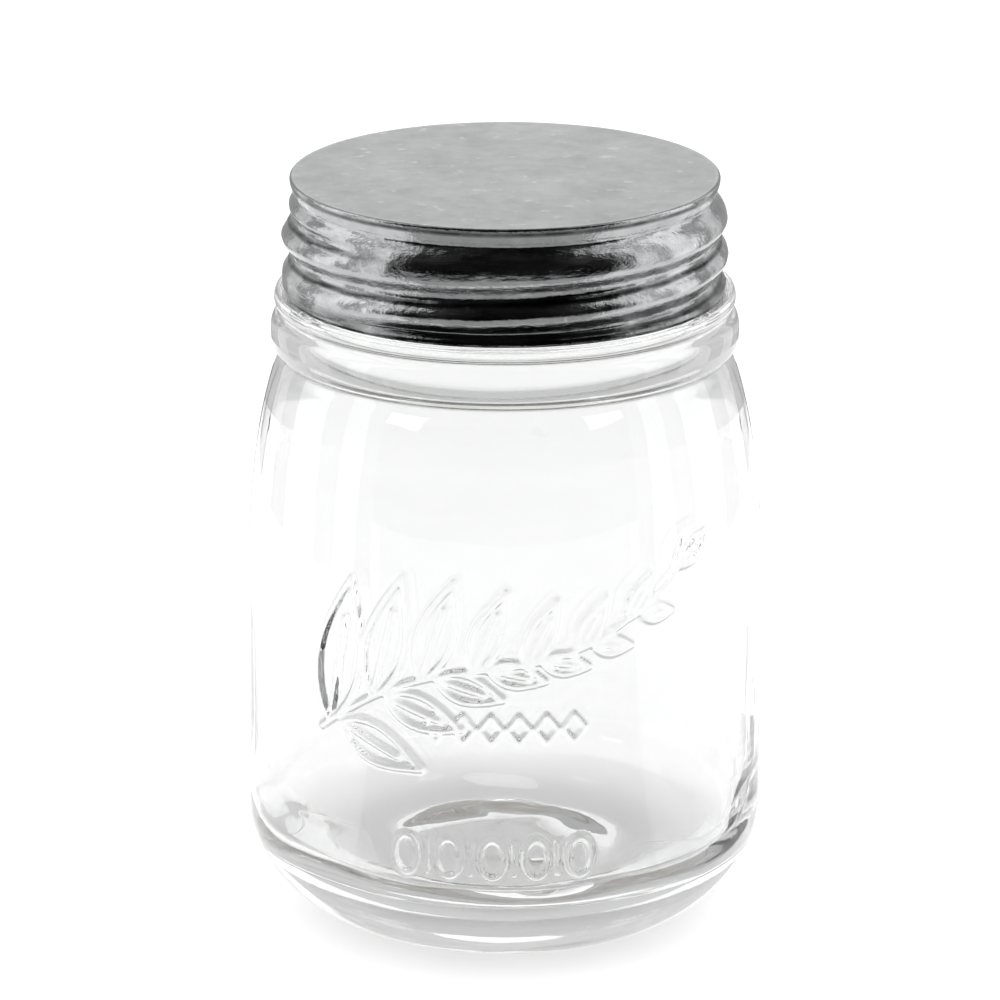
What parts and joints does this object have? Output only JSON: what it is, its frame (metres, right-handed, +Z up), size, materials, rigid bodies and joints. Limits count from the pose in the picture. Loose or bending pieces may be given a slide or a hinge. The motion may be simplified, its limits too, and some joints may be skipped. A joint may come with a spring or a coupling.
{
  "type": "mason jar",
  "caption": "Round clear glass preserving jar with a rounded heel and sloping shoulder, closed by a screw-on zinc cap over a glass liner and a rubber sealing ring.",
  "frame": {"origin": "on the jar's axis, in the plane that the jar stands on", "axes": "+Z up along the jar's axis; -Y is the side with the raised ornament"},
  "size_m": [0.084, 0.084, 0.124],
  "materials": {
    "clear_glass": "clear pressed soda-lime glass, polished by the flame, slightly wavy",
    "gasket_rubber": "cream rubber, matt",
    "opal_glass": "white opal glass, satin",
    "zinc_sheet": "dull grey zinc, mottled, rubbed brighter on its ridges"
  },
  "bodies": {
    "jar": {"glass_jar": "clear_glass"},
    "ring": {"sealing_gasket": "gasket_rubber"},
    "liner": {"lid_liner": "opal_glass"},
    "cap": {"lid_shell": "zinc_sheet"}
  },
  "joints": [
    {"name": "lid_lift", "type": "slide", "parent": "jar", "child": "ring", "axis": [0, 0, 1], "range_m": [0, 0.09]},
    {"name": "lid_rise", "type": "slide", "parent": "ring", "child": "liner", "axis": [0, 0, 1], "range_m": [0, 0.0093]},
    {"name": "lid_turn", "type": "hinge", "parent": "liner", "child": "cap", "pos_m": [0, 0, 0.115], "axis": [0, 0, 1], "range_deg": [0, 540]}
  ],
  "couplings": [
    {"joint": "lid_rise", "follows": "lid_turn", "m_per_rad": 0.00098676}
  ]
}
